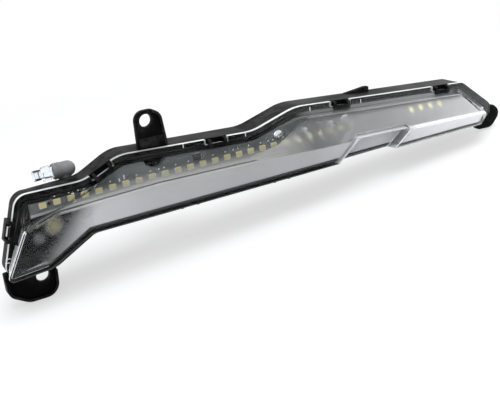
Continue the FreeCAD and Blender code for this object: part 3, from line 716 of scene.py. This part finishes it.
def buildLens():
    bm = softCopy("outer_lens", lensPiece["round"], angle=55.0, avoid=toRow(*lensPiece["tip"]),
                  strip=2, flat=0.05, cuts=lensPiece["cuts"], plain=lensPiece["plain"])
    bmesh.ops.translate(bm, verts=bm.verts, vec=(0.0, -lensPiece["lift"] * mm, 0.0))
    bm.normal_update()
    front = (lampSet["lensFace"] - 0.2) * mm
    back = (lampSet["rimFace"] + 0.2) * mm
    lampBack = lampTurn.inverted()
    pocket = lensPiece["pocket"]
    creaseX, ridgeX = lensPiece["darkEnds"]
    for face in bm.faces:
        middle = face.calc_center_median()
        x, y, z = (lampBack @ middle) / mm
        facing = lampBack.to_3x3() @ face.normal
        side = front < middle.y < back and abs(face.normal.y) < 0.3
        high = middle.z > lensPiece["topZ"] * mm
        upper = face.normal.z > 0.15 and high
        end = face.normal.x < -0.4 and middle.x < lensPiece["endX"] * mm
        cut = side and abs(face.normal.x) > 0.7 and high and middle.x > lensPiece["cutX"] * mm
        # lower wall of the cup: painted shade as far as the pocket, pale painted highlight beyond it
        rise = z - lowEdgeAt(x)
        foot = facing.z < -0.3 and y < -9.0 and rise < lensPiece["footHigh"]
        strip = face.material_index == 2 and y < -12.0 and rise > lensPiece["footHigh"]
        # bevel strips along the roof crease, which take the painted shade
        crease = strip and facing.z > 0.1 and facing.y < -0.1 and creaseX < x
        ridge = strip and (x > lensPiece["bright"] or x < ridgeX)
        # walls of the pocket: the left one and the one above, both with the pale painted highlight
        upright = abs(facing.y) < 0.05 and pocket["y"][0] < y < pocket["y"][1]
        wall = upright and facing.x > 0.5 and pocket["left"] < x < pocket["wall"]
        shelf = upright and facing.z < -0.5 and pocket["left"] < x < pocket["right"] and z > pocket["shelfZ"]
        # sides of the flange take the white painted rim highlight
        if side and (upper or end):
            face.material_index = 1
        elif cut or ridge or wall or shelf or (foot and x > lensPiece["foot"]):
            face.material_index = 2
        elif foot or crease:
            face.material_index = 3
        else:
            face.material_index = 0
    piece = finishMesh(bm, "lens_clear", [clearLens, lensEdgeHighlight, lensRidgeHighlight, lensPaintedShade], 14.0)
    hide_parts("outer_lens")


# Frosted inner lens
frostPiece = {"round": 0.18, "lineEnd": -45.0, "lineY": -21.0, "tip": (254.0, -23.3, -47.3)}


def buildFrost():
    bm = softCopy("inner_lens", frostPiece["round"], angle=55.0, avoid=toRow(*frostPiece["tip"]), flat=0.05)
    for face in bm.faces:
        middle = face.calc_center_median()
        left = middle.x < frostPiece["lineEnd"] * mm
        # upright faces at the left end of the front strip take the white painted edge highlight
        if left and middle.y < frostPiece["lineY"] * mm and abs(face.normal.y) < 0.012:
            face.material_index = 1
    piece = finishMesh(bm, "lens_frosted", [frosted, frostEdgeHighlight], 14.0)
    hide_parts("inner_lens")


def buildCopy(node, name, finish, width, angle=25.0, plain=()):
    piece = finishMesh(softCopy(node, width, angle=angle, plain=plain), name, [finish])
    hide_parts(node)


buildLens()
buildFrost()
buildCopy("rear_housing", "housing_shell", housingBlack, 0.4, 40.0,
          ((-5.3, -4.7), (19.5, 20.5)))
buildCopy("inner_bezel", "trim_bezel", trimBlack, 0.12, 40.0)
buildCopy("connector_socket", "socket_shell", socketBlack, 0.25)
buildCopy("connector_pins", "socket_blades", bladeBrass, 0.15)
buildCopy("vent_tube", "vent_pipe", clearTube, 0.2)
print("shells rounded")

# CAD nodes that keep their solid
for node, finish in (
    ("lens_seal", sealGrey), ("led_board", maskDark), ("board_carrier", carrierMetal),
    ("board_header", headerCream), ("inner_leads", leadRed), ("connector_gasket", gasketRubber),
):
    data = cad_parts[node].data
    data.materials.clear()
    data.materials.append(finish)


# Small ribs moulded on the lens flange, white with the painted edge highlight
tickPiece = {"size": (0.6, 0.4, 3.0), "top": ((21.0, -18.9), (66.5, -21.6), (118.0, -15.4), (160.5, -18.6)),
             "end": ((-100.9, -62.4), (-101.6, -64.8))}


def buildTicks():
    bm = bmesh.new()
    y = lampSet["lensFace"] - tickPiece["size"][1] / 2
    for x, z in tickPiece["top"]:
        addBlock(bm, tickPiece["size"], (x, y, z - tickPiece["size"][2] / 2))
    for x, z in tickPiece["end"]:
        wide, deep, high = tickPiece["size"]
        addBlock(bm, (high, deep, wide), (x, y, z))
    roundEdges(bm, bm.edges, 0.12)
    finishSmall(bm, "lens_ticks", [lensEdgeHighlight], None)


buildTicks()


# LED packages: pale body and sunk yellow window
ledPiece = {
    "wide": 4.4, "high": 3.6, "tall": 1.2, "edge": 0.25, "rim": 0.4, "sink": 0.2, "crown": 0.8,
    "row": list(range(26)) + [31, 32, 33, 34],
}


def buildLeds():
    one = bmesh.new()
    addBlock(one, (ledPiece["wide"], ledPiece["tall"], ledPiece["high"]), (0.0, -ledPiece["tall"] / 2, 0.0))
    window = min(one.faces, key=lambda face: face.calc_center_median().y)
    sides = [e for e in one.edges if abs(e.verts[0].co.y - e.verts[1].co.y) > 1e-5]
    bmesh.ops.inset_region(one, faces=[window], thickness=ledPiece["rim"] * mm, depth=0.0)
    bmesh.ops.inset_region(one, faces=[window], thickness=0.12 * mm, depth=-ledPiece["sink"] * mm)
    crown = bmesh.ops.inset_region(one, faces=[window], thickness=ledPiece["crown"] * mm, depth=0.12 * mm)
    for face in crown["faces"] + [window]:
        face.material_index = 1
    roundEdges(one, sides, ledPiece["edge"])
    row = [(lampSet["ledFirst"] + lampSet["ledPitch"] * k, lampSet["ledZ"]) for k in ledPiece["row"]]
    bm = stamp(one, onBoard(row))
    finishSmall(bm, "led_row", [ledWhite, ledYellow], "led_packages")


buildLeds()
print("LED row built")

# Plain white dots and marks printed on the board
dotPiece = {
    "start": -12.4, "period": 27.0, "offsets": (0.0, 9.1, 15.1, 18.7), "z": -32.2,
    "radius": 0.5, "tall": 0.12, "groups": range(-2, 9),
    "marks": ((-21.0, -31.6, 0.8, 2.6), (-24.2, -33.6, 0.6, 1.2), (-55.0, -33.4, 1.6, 0.5)),
}


def buildDots():
    one = bmesh.new()
    bmesh.ops.create_cone(one, cap_ends=True, segments=16, radius1=dotPiece["radius"] * mm,
                          radius2=dotPiece["radius"] * 0.8 * mm, depth=dotPiece["tall"] * mm)
    bmesh.ops.rotate(one, verts=one.verts, cent=(0, 0, 0), matrix=Matrix.Rotation(math.radians(90), 3, "X"))
    y = lampSet["boardFace"] - dotPiece["tall"] / 2
    spots = []
    for group in dotPiece["groups"]:
        for offset in dotPiece["offsets"]:
            spots.append((dotPiece["start"] + dotPiece["period"] * group + offset, y, dotPiece["z"]))
    bm = stamp(one, spots)
    for x, z, wide, high in dotPiece["marks"]:
        addBlock(bm, (wide, dotPiece["tall"], high), (x, y, z))
    finishSmall(bm, "board_dots", [padWhite], None)


buildDots()
print("board dots built")

# Screws: domed head with a star recess
screwPiece = {
    "board": {"spots": ((91.8, -29.8), (146.5, -30.8)), "head": 3.6, "high": 1.5, "shank": 1.4, "long": 9.0},
    "socket": {"spots": ((6.0, -40.0), (34.0, -40.0)), "head": 2.4, "high": 1.8, "shank": 1.1, "long": 8.2},
    "seat": 25.7,            # rear face of the socket plate
    "steps": 24, "lobes": 6, "lobe": 0.22,
}


def oneScrew(values):
    one = bmesh.new()
    head, high, shank, long = (values[k] for k in ("head", "high", "shank", "long"))
    dome = []
    for k in range(5):
        lean = math.radians(20.0 + 15.0 * k)
        wide = head * math.sin(lean) / math.sin(math.radians(80.0))
        dome.append((wide, -high * (0.3 + 0.7 * math.cos(lean))))
    points = [(0.0, -high * 0.4), (head * 0.28, -high * 0.45), (head * 0.34, -high * 0.95)] + dome
    points += [(head, -high * 0.2), (head, 0.0), (shank, 0.0), (shank, long - shank), (0.0, long)]
    spinProfile(one, points, screwPiece["steps"])
    for vert in one.verts:
        flat = Vector((vert.co.x, vert.co.z))
        if 1e-6 < flat.length < head * 0.345 * mm and vert.co.y < 0.0:
            lobe = 1.0 + screwPiece["lobe"] * math.cos(screwPiece["lobes"] * math.atan2(flat.y, flat.x))
            vert.co.x *= lobe
            vert.co.z *= lobe
    return one


def buildScrews():
    values = screwPiece["board"]
    bm = stamp(oneScrew(values), onBoard(values["spots"]))
    finishSmall(bm, "carrier_screws", [screwSteel], "board_screws")
    values = screwPiece["socket"]
    one = oneScrew(values)
    bmesh.ops.rotate(one, verts=one.verts, cent=(0, 0, 0), matrix=Matrix.Rotation(math.pi, 3, "Z"))
    bm = stamp(one, [(x, screwPiece["seat"], z) for x, z in values["spots"]])
    finishSmall(bm, "socket_screws", [screwSteel], "connector_screws")


buildScrews()

# Parts soldered to the board
partPiece = {
    "cans": ((112.8, -31.2), (134.0, -31.2)), "canRadius": 2.5, "canTall": 3.0,
    "drivers": ((30.0, -30.6), (124.0, -30.6), (186.0, -35.0)), "driver": (5.0, 1.2, 4.0),
    "legs": (-1.8, -0.6, 0.6, 1.8), "leg": (0.45, 0.55, 0.7),
    "resistors": ((-20.0, -31.2), (34.0, -31.2), (61.0, -31.2), (162.0, -33.0), (174.0, -33.0)),
    "resistor": (2.0, 0.6, 1.2), "cap": 0.6,
}


def buildCans():
    one = bmesh.new()
    r, tall = partPiece["canRadius"], partPiece["canTall"]
    points = [(0.0, 0.0), (r, 0.0), (r, -0.35), (r * 0.92, -0.4), (r * 0.92, -0.8),
              (r * 0.86, -0.95), (r * 0.92, -1.1), (r * 0.92, 0.25 - tall), (r * 0.84, -tall),
              (r * 0.7, -tall), (r * 0.66, 0.12 - tall), (0.0, 0.12 - tall)]
    spinProfile(one, points, 24)
    for face in one.faces:
        middle = face.calc_center_median()
        if middle.y < (0.3 - tall) * mm and middle.x > r * 0.35 * mm:
            face.material_index = 1
        if middle.y > -0.38 * mm:
            face.material_index = 1
    bm = stamp(one, onBoard(partPiece["cans"]))
    finishSmall(bm, "board_cans", [canMetal, chipBlack], "board_capacitors")


def buildDrivers():
    one = bmesh.new()
    wide, tall, high = partPiece["driver"]
    addBlock(one, (wide, tall - 0.15, high), (0.0, -(tall + 0.15) / 2, 0.0))
    roundEdges(one, [e for e in one.edges if min(v.co.y for v in e.verts) < -0.5 * mm], 0.2)
    legWide, legTall, legLong = partPiece["leg"]
    for x in partPiece["legs"]:
        for way in (-1.0, 1.0):
            made = addBlock(one, (legWide, legTall, legLong), (x, -legTall / 2, way * (high + legLong) / 2))
            for face in {f for v in made for f in v.link_faces}:
                face.material_index = 1
            outer = {e for v in made for e in v.link_edges
                     if all(abs(w.co.z) > (high / 2 + 0.1) * mm and w.co.y < -0.1 * mm for w in e.verts)}
            roundEdges(one, outer, 0.3)
    bm = stamp(one, onBoard(partPiece["drivers"]))
    finishSmall(bm, "board_chips", [chipBlack, padTin], "board_drivers")


def buildResistors():
    one = bmesh.new()
    tall = partPiece["resistor"][1]
    addBlock(one, partPiece["resistor"], (0.0, -tall / 2, 0.0))
    roundEdges(one, one.edges, 0.08)
    for x in (-partPiece["cap"], partPiece["cap"]):
        bmesh.ops.bisect_plane(one, geom=one.verts[:] + one.edges[:] + one.faces[:],
                               plane_co=(x * mm, 0, 0), plane_no=(1, 0, 0))
    for face in one.faces:
        if abs(face.calc_center_median().x) > partPiece["cap"] * mm:
            face.material_index = 1
    bm = stamp(one, onBoard(partPiece["resistors"]))
    finishSmall(bm, "board_blocks", [ceramic, padTin], "board_resistors")


buildCans()
buildDrivers()
buildResistors()
print("board parts built")

# Breather elbow with ribs around its mouth
ventPiece = {"round": 0.5, "at": (14.0, -23.0), "radius": 4.9, "bead": 0.45, "ribs": (-58.2, -56.6, -55.0)}


def buildVent():
    bm = softCopy("vent_elbow", ventPiece["round"])
    ribs = bmesh.new()
    y, z = ventPiece["at"]
    for x in ventPiece["ribs"]:
        made = bmesh.ops.create_circle(ribs, segments=10, radius=ventPiece["bead"] * mm)["verts"]
        bmesh.ops.translate(ribs, verts=made, vec=(0.0, ventPiece["radius"] * mm, 0.0))
        loop = made + list({e for v in made for e in v.link_edges})
        bmesh.ops.spin(ribs, geom=loop, cent=(0, 0, 0), axis=(1, 0, 0), dvec=(0, 0, 0),
                       angle=math.tau, steps=28, use_merge=True, use_duplicate=False)
        ring = [v for v in ribs.verts if not v.tag]
        bmesh.ops.translate(ribs, verts=ring, vec=(x * mm, y * mm, z * mm))
        for vert in ring:
            vert.tag = True
    bmesh.ops.recalc_face_normals(ribs, faces=ribs.faces)
    bmesh.ops.transform(ribs, matrix=lampTurn, verts=ribs.verts)
    part = bpy.data.meshes.new("ribs")
    ribs.to_mesh(part)
    ribs.free()
    bm.from_mesh(part)
    bpy.data.meshes.remove(part)
    piece = finishMesh(bm, "vent_cap", [ventRubber])
    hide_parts("vent_elbow")


buildVent()
print("breather built")

# Floor, lights, world
stageSet = {
    "floorColour": (0.745, 0.755, 0.775),
    "white": 0.56,           # share of plain white that the camera sees in the floor near the lamp
    "whiteReach": (0.25, 0.6),   # metres from the lamp's middle between which it grows to all white
    "middle": (0.09, 0.0), "target": (0.08, 0.0, -0.045),
    "worldLight": 0.55,
    "key": {"at": (0.15, -0.20, 0.95), "size": (1.0, 0.8), "power": 11.0},
    "fill": {"at": (-0.75, -0.75, 0.65), "size": (0.9, 0.9), "power": 5.0},
    "rim": {"at": (0.85, 0.35, 0.45), "size": (0.5, 0.7), "power": 3.0},
}


def seenRays(tree):
    path = addNode(tree, "ShaderNodeLightPath")
    seen = mathNode(tree, "MAXIMUM", path.outputs["Is Camera Ray"], path.outputs["Is Glossy Ray"])
    return mathNode(tree, "MAXIMUM", seen, path.outputs["Is Transmission Ray"])


def buildFloor():
    bm = bmesh.new()
    bmesh.ops.create_grid(bm, x_segments=4, y_segments=4, size=3.0)
    bmesh.ops.translate(bm, verts=bm.verts, vec=(0.1, 0.0, cadBox[0][2] - 0.0002))
    mesh = bpy.data.meshes.new("studio_floor")
    bm.to_mesh(mesh)
    bm.free()
    finish, tree, shader, out = newFinish("floor paper")
    skin = useGroup(tree, grainGroup, Scale=300.0, Cloud=3.0)
    colour = stageSet["floorColour"]
    tint = blendColour(tree, skin.outputs["Cloud"], colour, tuple(c * 0.985 for c in colour))
    tree.links.new(tint, shader.inputs["Base Color"])
    setInputs(shader, {"Roughness": 0.85, "Specular IOR Level": 0.1})
    white = addNode(tree, "ShaderNodeEmission")
    place = addNode(tree, "ShaderNodeTexCoord")
    away = addNode(tree, "ShaderNodeVectorMath", operation="DISTANCE")
    tree.links.new(place.outputs["Object"], away.inputs[0])
    away.inputs[1].default_value = stageSet["middle"] + (cadBox[0][2],)
    share = rangeNode(tree, away.outputs["Value"], *stageSet["whiteReach"], stageSet["white"], 1.0, True)
    above = mixShaders(tree, times(tree, seenRays(tree), share), shader.outputs[0], white.outputs[0])
    # open from below, so the underside of the lamp can be looked at
    shape = addNode(tree, "ShaderNodeNewGeometry")
    through = addNode(tree, "ShaderNodeBsdfTransparent")
    both = mixShaders(tree, shape.outputs["Backfacing"], above, through.outputs[0])
    tree.links.new(both, out.inputs["Surface"])
    mesh.materials.append(finish)
    floor = bpy.data.objects.new("studio_floor", mesh)
    scene.collection.objects.link(floor)


def buildWorld():
    world = bpy.data.worlds.new("studio")
    scene.world = world
    world.use_nodes = True
    tree = world.node_tree
    back = tree.nodes["Background"]
    back.inputs["Color"].default_value = (1.0, 1.0, 1.0, 1.0)
    level = addNode(tree, "ShaderNodeMapRange")
    tree.links.new(seenRays(tree), level.inputs["Value"])
    setInputs(level, {"To Min": stageSet["worldLight"], "To Max": 1.0})
    tree.links.new(level.outputs["Result"], back.inputs["Strength"])


def buildLights():
    target = Vector(stageSet["target"])
    for name in ("key", "fill", "rim"):
        values = stageSet[name]
        light = bpy.data.lights.new(name + " light", "AREA")
        light.shape = "RECTANGLE"
        light.size, light.size_y = values["size"]
        light.energy = values["power"]
        lamp = bpy.data.objects.new(name + "_light", light)
        lamp.location = values["at"]
        lamp.rotation_euler = (target - lamp.location).to_track_quat("-Z", "Y").to_euler()
        lamp.visible_glossy = name != "key"
        scene.collection.objects.link(lamp)


buildFloor()
buildWorld()
buildLights()
print("stage set")

# Camera, placed in lamp axes
cameraSet = {
    "lens": 64.8, "sensor": 36.0,
    "at": (-199.466, -518.713, 134.173),
    "turn": 30.0,            # degrees that the row is turned away from the camera
    "down": 30.0,            # degrees that the camera looks down
    "lean": 12.0,            # degrees that the lamp leans back in the picture
}


def buildCamera():
    turn, down, lean = (math.radians(cameraSet[k]) for k in ("turn", "down", "lean"))
    axisX = Vector((math.cos(turn), math.sin(turn), 0.0))
    flatY = Vector((-math.sin(turn), math.cos(turn), 0.0))
    flatZ = Vector((0.0, 0.0, 1.0))
    axisZ = math.cos(lean) * flatZ + math.sin(lean) * flatY
    axisY = math.cos(lean) * flatY - math.sin(lean) * flatZ
    looks = (Vector((1.0, 0.0, 0.0)),
             Vector((0.0, math.sin(down), math.cos(down))),
             -Vector((0.0, math.cos(down), -math.sin(down))))
    turned = Matrix.Identity(4)
    for column, look in enumerate(looks):
        inLamp = Vector((axisX.dot(look), axisY.dot(look), axisZ.dot(look)))
        inRow = lampTurn.to_3x3() @ inLamp
        for row in range(3):
            turned[row][column] = inRow[row]
    data = bpy.data.cameras.new("photo camera")
    data.lens = cameraSet["lens"]
    data.sensor_width = cameraSet["sensor"]
    data.sensor_fit = "HORIZONTAL"
    data.clip_start = 0.01
    camera = bpy.data.objects.new("photo_camera", data)
    turned.translation = toRow(*cameraSet["at"])
    camera.matrix_world = turned
    scene.collection.objects.link(camera)
    scene.camera = camera


buildCamera()
print("camera placed")
